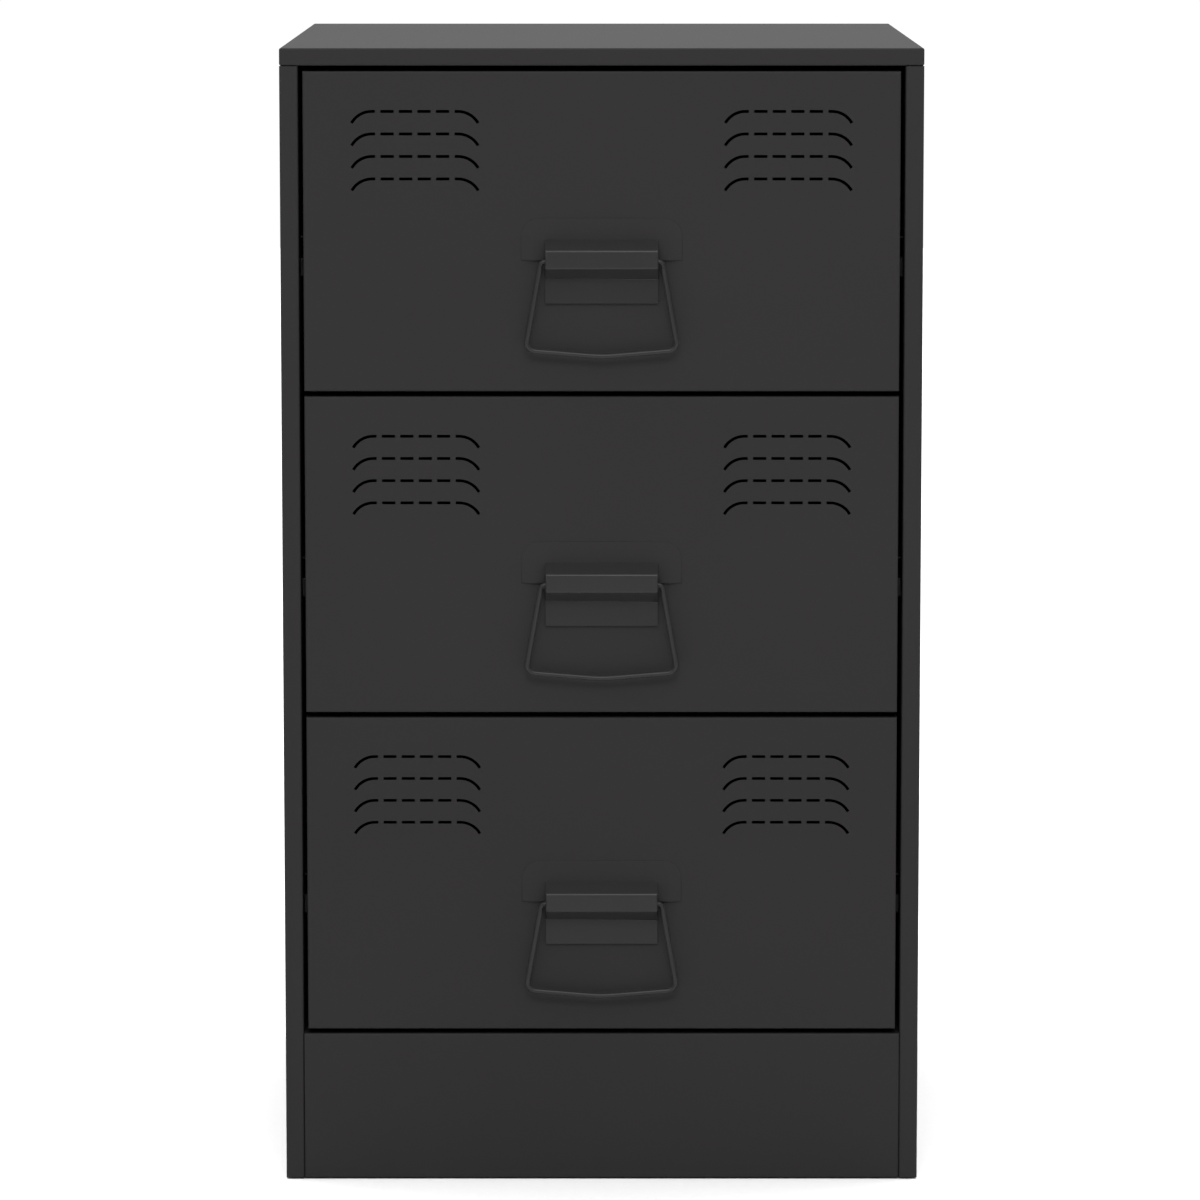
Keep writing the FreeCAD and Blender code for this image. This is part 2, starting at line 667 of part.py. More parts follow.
def bail(level, number):
    """One wire: in through the bracket's cheek, down, across with a low bow, and up again."""
    body = doc.addObject("PartDesign::Body", "bail")
    half = [("pin_end", "0"), ("bail_top", "0"), ("bail_low", "-bail_drop")]
    route = half + [("0", "-bail_apex")] + [(f"-{x}", z) for x, z in reversed(half)]
    spine = bare_sketch(body, "XZ_Plane", "route")
    draw_lines(spine, route, closed=False)
    bends = {1: "shoulder_bend", 2: "corner_bend", 3: "apex_bend", 4: "corner_bend", 5: "shoulder_bend"}
    round_corners(spine, route, bends, closed=False)
    section = bare_sketch(body, "YZ_Plane", "section", "pin_end")
    draw_circle(section, "0", "0", "wire")
    doc.recompute()
    pipe = body.newObject("PartDesign::AdditivePipe", "wire")
    pipe.Profile = section
    pipe.Spine = spine
    doc.recompute()
    level_z = f"drawer_bottom + {number} * drawer_pitch"
    place(body, y=f"{FRONT} - axle_reach", z=f"{level_z} + front_height - axle_drop")
    keep(body, f"bail_{level}")


def build():
    """Make every piece, the case first and then each drawer with its handle."""
    fill_sheet()
    top_panel()
    back_panel()
    base_panel()
    plinth_panel()
    foot_glides()
    case_screws()
    case_runner_glides()
    for name, side in SIDES.items():
        side_panel(name, side)
    for level, number in DRAWERS.items():
        drawer_front(level, number)
        drawer_back(level, number)
        drawer_floor(level, number)
        drawer_glides(level, number)
        drawer_bumpers(level, number)
        drawer_screws(level, number)
        hinge_bracket(level, number)
        bail(level, number)
        for name, side in SIDES.items():
            case_runner(name, side, level, number)
            drawer_side(name, side, level, number)
            drawer_runner(name, side, level, number)
    doc.recompute()


def export():
    """Refuse to write anything while any object has failed."""
    failed = [item.Label for item in doc.Objects if "Invalid" in item.State or "Error" in item.State]
    failed += [item.Label for item in parts if item.Shape.isNull() or not item.Shape.isValid()]
    if failed:
        raise RuntimeError(f"not built: {failed}")
    os.makedirs("parts", exist_ok=True)
    for item in parts:
        item.Shape.exportStep(f"parts/{item.Label}.step")
        print(item.Label, len(item.Shape.Solids), "solids", round(item.Shape.Volume / 1000, 2), "cm3")


build()
export()
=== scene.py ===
"""A narrow three-drawer chest of folded, powder-coated sheet steel, finished piece by piece."""
import math
import bmesh
import bpy
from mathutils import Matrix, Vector


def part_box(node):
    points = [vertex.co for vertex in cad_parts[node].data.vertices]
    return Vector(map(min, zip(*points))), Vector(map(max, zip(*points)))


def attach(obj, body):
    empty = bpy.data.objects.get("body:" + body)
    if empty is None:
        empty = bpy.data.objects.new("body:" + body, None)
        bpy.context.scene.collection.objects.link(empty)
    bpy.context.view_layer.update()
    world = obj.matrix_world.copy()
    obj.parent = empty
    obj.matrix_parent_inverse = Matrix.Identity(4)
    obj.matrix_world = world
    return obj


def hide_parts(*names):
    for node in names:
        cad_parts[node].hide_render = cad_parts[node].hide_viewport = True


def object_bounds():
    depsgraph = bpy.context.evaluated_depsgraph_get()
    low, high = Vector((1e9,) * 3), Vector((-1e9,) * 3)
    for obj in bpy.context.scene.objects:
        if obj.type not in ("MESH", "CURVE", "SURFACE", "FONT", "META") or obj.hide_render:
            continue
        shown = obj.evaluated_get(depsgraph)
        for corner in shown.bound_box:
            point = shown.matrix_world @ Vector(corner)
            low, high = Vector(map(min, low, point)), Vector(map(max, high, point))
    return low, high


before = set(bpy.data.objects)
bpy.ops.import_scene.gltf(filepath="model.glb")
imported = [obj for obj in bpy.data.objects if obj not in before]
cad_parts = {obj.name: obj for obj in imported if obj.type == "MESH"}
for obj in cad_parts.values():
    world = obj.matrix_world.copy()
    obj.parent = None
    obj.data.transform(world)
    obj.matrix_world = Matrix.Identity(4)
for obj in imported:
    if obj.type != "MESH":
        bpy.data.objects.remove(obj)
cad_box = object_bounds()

# ---- View, light and floor
# The chest stands in an even white studio, brighter overhead and behind it than in front. It is
# seen straight on and a little from above. One wide soft panel hangs over the front.

eye_place = (-0.0009, -3.39, 0.737)
eye_tilt = math.radians(7.43)
eye_lens = 179.1
rear_glow = {"From Min": -0.6, "From Max": 0.5, "To Min": 0.14, "To Max": 1.02}
overhead_glow = {"From Min": 0.3, "From Max": 0.95, "To Min": 0.0, "To Max": 2.2}
panel_size = (2.0, 1.1)
panel_power = 62
panel_place = (0, -2.9, 2.6)
panel_tilt = math.radians(52)

scene = bpy.context.scene
scene.view_settings.view_transform = "Standard"
eye = bpy.data.objects.new("eye", bpy.data.cameras.new("eye"))
eye.data.sensor_width = 36
eye.data.lens = eye_lens
eye.data.clip_end = 60
eye.location = eye_place
eye.rotation_euler = (math.pi / 2 - eye_tilt, 0, 0)
scene.collection.objects.link(eye)
scene.camera = eye


def add_node(tree, kind, links=None, **settings):
    """Add a shader node; links maps an input of it to a value or to another node's output."""
    node = tree.nodes.new(kind)
    for key, setting in settings.items():
        setattr(node, key, setting)
    for key, source in (links or {}).items():
        if isinstance(source, bpy.types.NodeSocket):
            tree.links.new(source, node.inputs[key])
        else:
            node.inputs[key].default_value = source
    return node


studio = bpy.data.worlds.new("studio")
scene.world = studio
studio.use_nodes = True
air = studio.node_tree
around = add_node(air, "ShaderNodeTexCoord").outputs["Generated"]
direction = add_node(air, "ShaderNodeSeparateXYZ", {0: around})


def glow_along(axis, glow):
    """The part of the studio's light that grows along one axis, front to rear or low to high."""
    links = {"Value": direction.outputs[axis], **glow}
    return add_node(air, "ShaderNodeMapRange", links, interpolation_type="SMOOTHSTEP").outputs["Result"]


glows = {0: glow_along("Y", rear_glow), 1: glow_along("Z", overhead_glow)}
brightness = add_node(air, "ShaderNodeMath", glows)
air.links.new(brightness.outputs[0], air.nodes["Background"].inputs["Strength"])
air.nodes["Background"].inputs["Color"].default_value = (1, 1, 1, 1)

panel = bpy.data.objects.new("soft_panel", bpy.data.lights.new("soft_panel", "AREA"))
panel.data.shape = "RECTANGLE"
panel.data.size, panel.data.size_y = panel_size
panel.data.energy = panel_power
panel.location = panel_place
panel.rotation_euler = (panel_tilt, 0, 0)
scene.collection.objects.link(panel)


def clear():
    """Leave edit mode and deselect everything."""
    if bpy.context.object and bpy.context.object.mode != "OBJECT":
        bpy.ops.object.mode_set(mode="OBJECT")
    bpy.ops.object.select_all(action="DESELECT")


def grain(tree, size, detail):
    """Noise whose features are about one size across, in metres, on the piece's own place."""
    place = add_node(tree, "ShaderNodeTexCoord").outputs["Object"]
    links = {"Vector": place, "Scale": 1 / size, "Detail": detail, "Roughness": 0.55}
    return add_node(tree, "ShaderNodeTexNoise", links).outputs["Fac"]


def spread(tree, source, low, high):
    """Stretch the middle of a noise to run between two values."""
    links = {"Value": source, "From Min": 0.3, "From Max": 0.7, "To Min": low, "To Max": high}
    return add_node(tree, "ShaderNodeMapRange", links).outputs["Result"]


def finish(name, dark, light, roughness, tones, bumps, **fixed):
    """A surface whose colour and gloss wander between two values, with layers of fine relief.

    Two tones, each a grain size and its detail, mix the colour; the finer one moves the gloss.
    A bump is a grain size and its depth. The fixed values go on the shader's own sockets."""
    material = bpy.data.materials.new(name)
    material.use_nodes = True
    tree = material.node_tree
    shader = tree.nodes["Principled BSDF"]
    drift, speck = [spread(tree, grain(tree, *tone), 0, 1) for tone in tones]
    both = add_node(tree, "ShaderNodeMath", {0: drift, 1: speck}, operation="ADD").outputs[0]
    blend = add_node(tree, "ShaderNodeMath", {0: both, 1: 0.5}, operation="MULTIPLY").outputs[0]
    # A Mix node's colours are its sockets 6 and 7, and its mixed colour comes out of socket 2.
    mix = add_node(tree, "ShaderNodeMix", {"Factor": blend, 6: (*dark, 1), 7: (*light, 1)}, data_type="RGBA")
    tree.links.new(mix.outputs[2], shader.inputs["Base Color"])
    tree.links.new(spread(tree, grain(tree, *tones[1]), *roughness), shader.inputs["Roughness"])
    normal = None
    for size, depth in bumps:
        links = {"Height": grain(tree, size, 2), "Distance": depth, "Strength": 1.0}
        if normal:
            links["Normal"] = normal
        normal = add_node(tree, "ShaderNodeBump", links).outputs["Normal"]
    tree.links.new(normal, shader.inputs["Normal"])
    for socket, amount in fixed.items():
        shader.inputs[socket.replace("_", " ")].default_value = amount
    return material


clear()
bpy.ops.mesh.primitive_plane_add(size=14, location=(0, 0, cad_box[0][2]))
floor = bpy.context.object
floor.name = "floor"
floor.data.materials.append(finish("floor_paint", (0.80, 0.80, 0.80), (0.84, 0.84, 0.84), (0.55, 0.65),
                                   ((0.9, 2), (0.004, 2)), ((0.003, 0.00005),), Specular_IOR_Level=0.3))

# ---- Top
# A shallow tray of 0.8 mm steel sheet. Its four edges are bent down and then in, the corners are
# welded and ground round, and the whole is powder-coated dark grey with a faint orange peel.

gauge = 0.0008
fold_radius = 0.0011
tray_return = 0.012
coat = finish("dark_coat", (0.0158, 0.0148, 0.0151), (0.0178, 0.0167, 0.0170), (0.62, 0.70),
              ((0.16, 3), (0.0011, 2)), ((0.0021, 0.00003), (0.0005, 0.00001)), Specular_IOR_Level=0.13)

touch = 0.00002
FACING = {
    "up": ((0, 0, 0), (0, 1)),
    "front": ((math.pi / 2, 0, 0), (0, 2)),
    "right": ((0, math.pi / 2, 0), (2, 1)),
}


def near(a, b):
    """Whether two places on an axis are the same."""
    return abs(a - b) < touch


def between(a, low, high):
    """Whether a place on an axis is between two others, or at one of them."""
    return low - touch < a < high + touch


def choose(kind, test):
    """Select only the corners, edges or faces whose every corner passes the test."""
    bpy.ops.mesh.select_mode(type=kind)
    bpy.ops.mesh.select_all(action="DESELECT")
    shape = bmesh.from_edit_mesh(bpy.context.object.data)
    items = {"VERT": shape.verts, "EDGE": shape.edges, "FACE": shape.faces}[kind]
    for item in items:
        corners = [item] if kind == "VERT" else item.verts
        if all(test(corner.co) for corner in corners):
            item.select_set(True)
    bmesh.update_edit_mesh(bpy.context.object.data)


def settle():
    """Write the selected pieces' place, turn and size into their meshes."""
    bpy.ops.object.transform_apply(location=True, rotation=True, scale=True)


def lay_sheet(name, low, high, facing):
    """Lay a flat sheet between two opposite corners and open it for editing."""
    clear()
    turn, (first, second) = FACING[facing]
    low, high = Vector(low), Vector(high)
    bpy.ops.mesh.primitive_plane_add(size=1, location=(low + high) / 2, rotation=turn)
    sheet = bpy.context.object
    sheet.name = name
    sheet.scale = ((high - low)[first], (high - low)[second], 1)
    settle()
    bpy.ops.object.mode_set(mode="EDIT")
    return sheet


def fold(test, by):
    """Carry the chosen edges on by a distance, as a press brake turns up a flange."""
    choose("EDGE", test)
    bpy.ops.mesh.extrude_edges_move(TRANSFORM_OT_translate={"value": by})


def round_folds(test, radius, steps=4):
    """Give the chosen folds their inside radius."""
    choose("EDGE", test)
    bpy.ops.mesh.bevel(offset=radius, segments=steps, affect="EDGES", clamp_overlap=False)


def shape_with(piece, kind, **settings):
    """Put one modifier on the piece and apply it."""
    modifier = piece.modifiers.new("shape", kind)
    for key, setting in settings.items():
        setattr(modifier, key, setting)
    bpy.ops.object.modifier_apply(modifier=modifier.name)


def thicken(sheet, thickness, burr=0.00012, even=True):
    """Give the sheet its wall, inwards, and take the sharpness off its cut edges."""
    bpy.ops.object.mode_set(mode="OBJECT")
    shape_with(sheet, "SOLIDIFY", thickness=thickness, offset=-1, use_even_offset=even)
    shape_with(sheet, "BEVEL", width=burr, segments=1, limit_method="ANGLE", angle_limit=math.radians(60))


def take(*pieces):
    """Select only these pieces, and work on the first."""
    clear()
    for piece in pieces:
        piece.select_set(True)
    bpy.context.view_layer.objects.active = pieces[0]


def hand_over(piece, body, slot, material, *nodes):
    """Smooth the bends, coat the piece and fix it to its body in place of the plain nodes."""
    take(piece)
    bpy.ops.object.shade_smooth_by_angle(angle=math.radians(34))
    shape_with(piece, "WEIGHTED_NORMAL", keep_sharp=True, weight=100)
    piece.data.materials.clear()
    piece.data.materials.append(material)
    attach(piece, body)
    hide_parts(*nodes)


low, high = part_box("top_panel")
top = lay_sheet("top_tray", (low.x, low.y, high.z), high, "up")
fold(lambda p: True, (0, 0, low.z - high.z))
bpy.ops.mesh.extrude_edges_move(TRANSFORM_OT_translate={"value": (0, 0, 0)})
inward = [1 - 2 * tray_return / (high[axis] - low[axis]) for axis in (0, 1)]
rim_middle = ((low.x + high.x) / 2, (low.y + high.y) / 2, low.z)
bpy.ops.transform.resize(value=(*inward, 1), center_override=rim_middle)
round_folds(lambda p: near(p.x, low.x) or near(p.x, high.x) or near(p.y, low.y) or near(p.y, high.y),
            fold_radius)
thicken(top, gauge)
hand_over(top, "case", "sheet_coat", coat, "top_panel")

# ---- Sides
# Each side is one sheet: the outer skin, a narrow front post with a lip turned back beside the
# drawers, a rear flange for the back, and flanges at the top and foot, notched at both ends. Both
# are bent up alike on the right, and the first is then turned over to the left.

post_width = 0.0099
lip_depth = 0.022
rear_flange = 0.015
end_flange = 0.012
notch = 0.002


def open_up(piece):
    """Open a piece for editing with all of it selected."""
    take(piece)
    bpy.ops.object.mode_set(mode="EDIT")
    bpy.ops.mesh.select_all(action="SELECT")


def copy_of(piece, name):
    """A copy with a mesh of its own, the only one selected."""
    take(piece)
    bpy.ops.object.duplicate()
    copy = bpy.context.object
    copy.name = name
    return copy


low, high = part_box("side_panel_right")
left_side = lay_sheet("side_sheet_left", (high.x, low.y, low.z), high, "right")
notch_front = low.y + lip_depth + notch
notch_rear = high.y - notch
post_inner = high.x - post_width
for y in (notch_front, notch_rear):
    bpy.ops.mesh.select_all(action="SELECT")
    bpy.ops.mesh.bisect(plane_co=(0, y, 0), plane_no=(0, 1, 0))
fold(lambda p: near(p.y, low.y), (-post_width, 0, 0))
fold(lambda p: near(p.y, low.y) and near(p.x, post_inner), (0, lip_depth, 0))
fold(lambda p: near(p.y, high.y), (-rear_flange, 0, 0))
for z in (high.z, low.z):
    fold(lambda p: near(p.z, z) and near(p.x, high.x) and between(p.y, notch_front, notch_rear),
         (-end_flange, 0, 0))
for x, y in ((high.x, low.y), (post_inner, low.y), (high.x, high.y)):
    round_folds(lambda p: near(p.x, x) and near(p.y, y), fold_radius)
thicken(left_side, gauge)
right_side = copy_of(left_side, "side_sheet_right")
take(left_side)
bpy.ops.transform.mirror(constraint_axis=(True, False, False), center_override=(0, 0, 0))
settle()
open_up(left_side)
bpy.ops.mesh.normals_make_consistent(inside=False)
hand_over(left_side, "case", "sheet_coat", coat, "side_panel_left")
hand_over(right_side, "case", "sheet_coat", coat, "side_panel_right")

# ---- Plinth
# The kick panel is a pan of the same sheet, open to the rear and screwed between the posts.
# Its four edges are turned back, which stiffens it and hides the screws.

low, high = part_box("plinth_panel")
plinth = lay_sheet("plinth_pan", low, (high.x, low.y, high.z), "front")
fold(lambda p: True, (0, high.y - low.y, 0))
round_folds(lambda p: near(p.y, low.y), fold_radius)
thicken(plinth, gauge)
hand_over(plinth, "case", "sheet_coat", coat, "plinth_panel")

# ---- Drawer fronts
# Each front is a pan of the same sheet. Rows of vent slots are punched through it, and a field
# above the handle is pressed out to an open, rolled lip. Then its four edges are turned back.

LEVELS = ("lower", "middle", "upper")
low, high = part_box("drawer_front_lower")
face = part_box("top_panel")[0].y
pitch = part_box("drawer_front_middle")[0].z - low.z
vent_middle = 0.1
vent_row = high.z - 0.0214
row_pitch = 0.01203
slot_half = 0.0008
dash = 0.0071
dash_pitch = 0.0099
bent_start = 0.0213
bent_level = 0.02318
bent_radius = 0.0123
bent_angle = math.radians(58)
bent_tail = 0.0005


def array(piece, count, step):
    """Repeat the piece's mesh a number of times, one step apart."""
    shape_with(piece, "ARRAY", count=count, use_relative_offset=False, use_constant_offset=True,
               constant_offset_displace=step)


def join(pieces):
    """Make one mesh of several, in the first one."""
    take(*pieces)
    bpy.ops.object.join()
    return pieces[0]


first_dash = -vent_middle - 1.5 * dash_pitch - dash / 2
dashes = lay_sheet("dashes", (first_dash, face, vent_row - slot_half),
                   (first_dash + dash, face, vent_row + slot_half), "front")
bpy.ops.object.mode_set(mode="OBJECT")
array(dashes, 4, (dash_pitch, 0, 0))

bend_at = bent_level - vent_middle
bent = lay_sheet("bent_slots", (bent_start - vent_middle, face, vent_row - slot_half),
                 (bend_at, face, vent_row + slot_half), "front")
choose("EDGE", lambda p: near(p.x, bend_at))
bpy.ops.mesh.spin(steps=8, angle=-bent_angle, axis=(0, 1, 0), center=(bend_at, face, vent_row - bent_radius))
tail = (bent_tail * math.cos(bent_angle), 0, -bent_tail * math.sin(bent_angle))
bpy.ops.mesh.extrude_edges_move(TRANSFORM_OT_translate={"value": tail})
bpy.ops.mesh.select_all(action="SELECT")
bpy.ops.mesh.dissolve_faces()
bpy.ops.mesh.select_all(action="SELECT")
bpy.ops.mesh.duplicate()
bpy.ops.transform.mirror(constraint_axis=(True, False, False), center_override=(-vent_middle, face, vent_row))
bpy.ops.object.mode_set(mode="OBJECT")
slots = join([dashes, bent])
array(slots, 4, (0, 0, -row_pitch))
array(slots, 2, (2 * vent_middle, 0, 0))

frame_width = 0.003
blank = lay_sheet("front_blank", low, (high.x, low.y, high.z), "front")
bpy.ops.mesh.select_all(action="SELECT")
bpy.ops.transform.translate(value=(0, face - low.y, 0))
bpy.ops.mesh.inset(thickness=frame_width)
bpy.ops.mesh.delete(type="ONLY_FACE")
open_up(slots)
bpy.ops.mesh.delete(type="ONLY_FACE")

field_half = 0.0435
field_top = high.z - 0.0782
field_lip = high.z - 0.1012
field_corner = 0.010
field_reach = 0.0016
crease = 0.0003
crease_depth = 0.0002
shoulder = 0.0045
shoulder_rise = 0.0004
lip_taper = 0.003
lip_roll = 0.0001
lip_edge = 0.00025
field = lay_sheet("field", (-field_half, face, field_lip), (field_half, face, field_top), "front")
choose("VERT", lambda p: near(p.z, field_top))
bpy.ops.mesh.bevel(offset=field_corner, segments=12, affect="VERTICES")
bpy.ops.mesh.select_all(action="SELECT")
bpy.ops.mesh.inset(thickness=crease)
bpy.ops.transform.translate(value=(0, crease_depth, 0))
bpy.ops.mesh.inset(thickness=shoulder)
bpy.ops.transform.translate(value=(0, -shoulder_rise, 0))
slope = (field_reach - crease_depth) / (field_top - field_lip)
for corner in bmesh.from_edit_mesh(field.data).verts:
    if corner.select:
        corner.co.y -= slope * (field_top - crease - shoulder - corner.co.z)
bmesh.update_edit_mesh(field.data)
lip_half = field_half - crease - shoulder - lip_taper
for x in (-lip_half, lip_half):
    bpy.ops.mesh.select_all(action="SELECT")
    bpy.ops.mesh.bisect(plane_co=(x, 0, 0), plane_no=(1, 0, 0))
choose("VERT", lambda p: between(p.x, -lip_half, lip_half) and p.z < field_lip + crease / 2)
bpy.ops.transform.translate(value=(0, gauge - field_reach, 0))
choose("VERT", lambda p: between(p.x, -lip_half, lip_half) and near(p.z, field_lip + crease))
bpy.ops.transform.translate(value=(0, -field_reach - lip_roll, 0))
round_folds(lambda p: between(p.x, -lip_half, lip_half) and near(p.z, field_lip + crease), lip_edge, 2)
bpy.ops.object.mode_set(mode="OBJECT")

front = join([blank, slots, field])
open_up(front)
bpy.ops.mesh.remove_doubles(threshold=touch / 2)
choose("VERT", lambda p: near(abs(p.x), field_half) and near(p.z, field_lip) and near(p.y, face))
bpy.ops.mesh.edge_face_add()
inner_half = high.x - frame_width
choose("EDGE", lambda p: near(p.y, face) and between(p.x, -inner_half, inner_half)
       and between(p.z, low.z + frame_width, high.z - frame_width))
bpy.ops.mesh.fill(use_beauty=False)

front_depth = 0.016
front_return = 0.0128
relief = 0.0012
for z in (low.z + relief, high.z - relief):
    choose("FACE", lambda p: abs(p.x) > inner_half - touch)
    bpy.ops.mesh.bisect(plane_co=(0, 0, z), plane_no=(0, 0, 1))


def on_outline(p):
    """Whether a corner is on the front's outline."""
    return near(abs(p.x), high.x) or near(p.z, low.z) or near(p.z, high.z)


fold(on_outline, (0, front_depth, 0))
for side in (-1, 1):
    fold(lambda p: near(p.x, side * high.x) and near(p.y, face + front_depth)
         and between(p.z, low.z + relief, high.z - relief), (-side * front_return, 0, 0))
round_folds(lambda p: on_outline(p) and near(p.y, face), fold_radius)
thicken(front, gauge, even=False)


def hand_over_levels(piece, name, body, slot, material, node):
    """Hand over a piece of the lowest drawer, and a copy of it for each drawer above."""
    piece.name = name + "_lower"
    copies = [piece]
    for rise, level in enumerate(LEVELS[1:], 1):
        copies.append(copy_of(piece, name + "_" + level))
        bpy.ops.transform.translate(value=(0, 0, rise * pitch))
        settle()
    for level, copy in zip(LEVELS, copies):
        hand_over(copy, body + "_" + level, slot, material, node.format(level))


hand_over_levels(front, "front_pan", "drawer", "sheet_coat", coat, "drawer_front_{}")

# ---- Hinge brackets
# Each handle hangs in a strip of 1.5 mm steel bent to a low hat, closed at both ends by cheeks
# that hold the wire, and welded to the drawer front over the lip of the pressed field.

handle_coat = finish("handle_coat", (0.0142, 0.0133, 0.0136), (0.0160, 0.0150, 0.0153), (0.34, 0.41),
                     ((0.05, 3), (0.0011, 2)), ((0.0021, 0.00002), (0.0005, 0.00001)), Specular_IOR_Level=0.2)
pan_top = high.z
low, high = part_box("hinge_bracket_lower")
hat_front = low.y
hat_half = high.x
hat_sheet = 0.0015
hat_high = pan_top - 0.0955
hat_low = pan_top - 0.105
crown_depth = 0.0094
crown_rise = 0.0054
underside_drop = 0.0058
flange_end = hat_low - 0.0192
cheek_reach = 0.0014
cheek_radius = 0.0008
flange_top = hat_low - underside_drop


def above_flange(p):
    """Whether a corner is on the hat, over its flange."""
    return p.z > flange_top - touch


bracket = lay_sheet("bracket", (-hat_half, hat_front, hat_low), (hat_half, hat_front, hat_high), "front")
fold(lambda p: near(p.z, hat_high), (0, crown_depth, crown_rise))
fold(lambda p: near(p.z, hat_low), (0, face - hat_sheet - hat_front, -underside_drop))
fold(lambda p: near(p.z, flange_top), (0, 0, flange_end - flange_top))
for side in (-1, 1):
    choose("VERT", lambda p: near(p.x, side * hat_half) and above_flange(p))
    bpy.ops.mesh.edge_face_add()
    fold(lambda p: near(p.x, side * hat_half) and above_flange(p) and p.y > face - hat_sheet - touch,
         (0, cheek_reach, 0))
bpy.ops.mesh.select_all(action="SELECT")
bpy.ops.mesh.normals_make_consistent(inside=False)
round_folds(lambda p: near(abs(p.x), hat_half) and above_flange(p) and p.y < face - cheek_reach - touch,
            cheek_radius, 3)
for z, radius in ((hat_high, 0.0018), (hat_low, 0.0014), (flange_top, 0.0012)):
    round_folds(lambda p: near(p.z, z), radius)
thicken(bracket, hat_sheet, even=False)

wire_radius = 0.0014
axle_clear = 0.0001
axle = Vector((0, face - 0.0056, pan_top - 0.1015))
clear()
bpy.ops.mesh.primitive_cylinder_add(vertices=32, radius=wire_radius + axle_clear, depth=3 * hat_half,
                                    location=axle, rotation=(0, math.pi / 2, 0))
drill = bpy.context.object
take(bracket)
shape_with(bracket, "BOOLEAN", object=drill, operation="DIFFERENCE", solver="EXACT")
bpy.data.objects.remove(drill)
hand_over_levels(bracket, "bracket", "drawer", "handle_coat", handle_coat, "hinge_bracket_{}")

# ---- Handles
# Each handle is one 2.8 mm wire, its ends turned in through the bracket's cheeks and its lower
# run bowed a little down. It swings on those ends, and wears the same coat as the bracket.

pin_end = 0.024
neck_half = 0.0326
grip_half = 0.0411
grip_drop = 0.0476
bow_drop = 0.051
neck_radius = 0.003
grip_radius = 0.005
bow_radius = 0.075
degrees_per_step = 9

bends = [(neck_half, 0, neck_radius), (grip_half, -grip_drop, grip_radius), (0, -bow_drop, bow_radius),
         (-grip_half, -grip_drop, grip_radius), (-neck_half, 0, neck_radius)]
route = [Vector((pin_end, 0, 0))] + [Vector((x, 0, z)) for x, z, radius in bends]
route.append(Vector((-pin_end, 0, 0)))
clear()
bpy.ops.mesh.primitive_circle_add(vertices=20, radius=wire_radius, fill_type="NOTHING",
                                  location=axle + route[0], rotation=(0, math.pi / 2, 0))
wire = bpy.context.object
settle()
bpy.ops.object.mode_set(mode="EDIT")
bpy.ops.mesh.select_all(action="SELECT")
reached = route[0]
for index, (x, z, radius) in enumerate(bends, 1):
    arriving = (route[index] - route[index - 1]).normalized()
    leaving = (route[index + 1] - route[index]).normalized()
    turn = arriving.angle(leaving)
    bend_start = route[index] - arriving * radius * math.tan(turn / 2)
    bpy.ops.mesh.extrude_edges_move(TRANSFORM_OT_translate={"value": bend_start - reached})
    towards = (leaving - arriving * arriving.dot(leaving)).normalized()
    bpy.ops.mesh.spin(steps=max(4, round(math.degrees(turn) / degrees_per_step)), angle=-turn,
                      axis=arriving.cross(towards), center=axle + bend_start + towards * radius)
    reached = route[index] + leaving * radius * math.tan(turn / 2)
bpy.ops.mesh.extrude_edges_move(TRANSFORM_OT_translate={"value": route[-1] - reached})
for x in (pin_end, -pin_end):
    choose("EDGE", lambda p: near(p.x, x))
    bpy.ops.mesh.edge_face_add()
bpy.ops.mesh.select_all(action="SELECT")
bpy.ops.mesh.normals_make_consistent(inside=False)
bpy.ops.object.mode_set(mode="OBJECT")
shape_with(wire, "BEVEL", width=0.0003, segments=2, limit_method="ANGLE", angle_limit=math.radians(60))
hand_over_levels(wire, "handle", "handle", "handle_coat", handle_coat, "bail_{}")

# ---- Back and floor of the case
# The back is one flat sheet with two holes for wall screws, and the case's floor is a tray turned
# down on four sides. Both wear the same coat, and only their cut edges are eased.


def ease(node, width=0.0002):
    """A copy of a plain node with its corners welded and its sharp edges taken off."""
    copy = bpy.data.objects.new(node + "_eased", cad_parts[node].data.copy())
    scene.collection.objects.link(copy)
    open_up(copy)
    bpy.ops.mesh.remove_doubles(threshold=touch / 10)
    bpy.ops.mesh.dissolve_limited(angle_limit=math.radians(1))
    bpy.ops.object.mode_set(mode="OBJECT")
    shape_with(copy, "BEVEL", width=width, segments=2, limit_method="ANGLE", angle_limit=math.radians(50))
    return copy


for node in ("back_panel", "base_panel"):
    hand_over(ease(node), "case", "sheet_coat", coat, node)

# ---- Foot glides
# Four round glides of black nylon are pushed into holes under the corners. They carry the chest
# and keep its sheet edges off the floor.

nylon = finish("black_nylon", (0.011, 0.011, 0.012), (0.018, 0.018, 0.018), (0.38, 0.5),
               ((0.02, 2), (0.0006, 2)), ((0.0012, 0.00002), (0.0003, 0.00001)), Specular_IOR_Level=0.4)
hand_over(ease("foot_glides", 0.0003), "case", "glide_plastic", nylon, "foot_glides")

# ---- Case screws
# Pan-head screws with a cross recess, in black zinc: four up into the top, six through the back
# and four behind the plinth. One screw is made and copied, here and for the drawers.

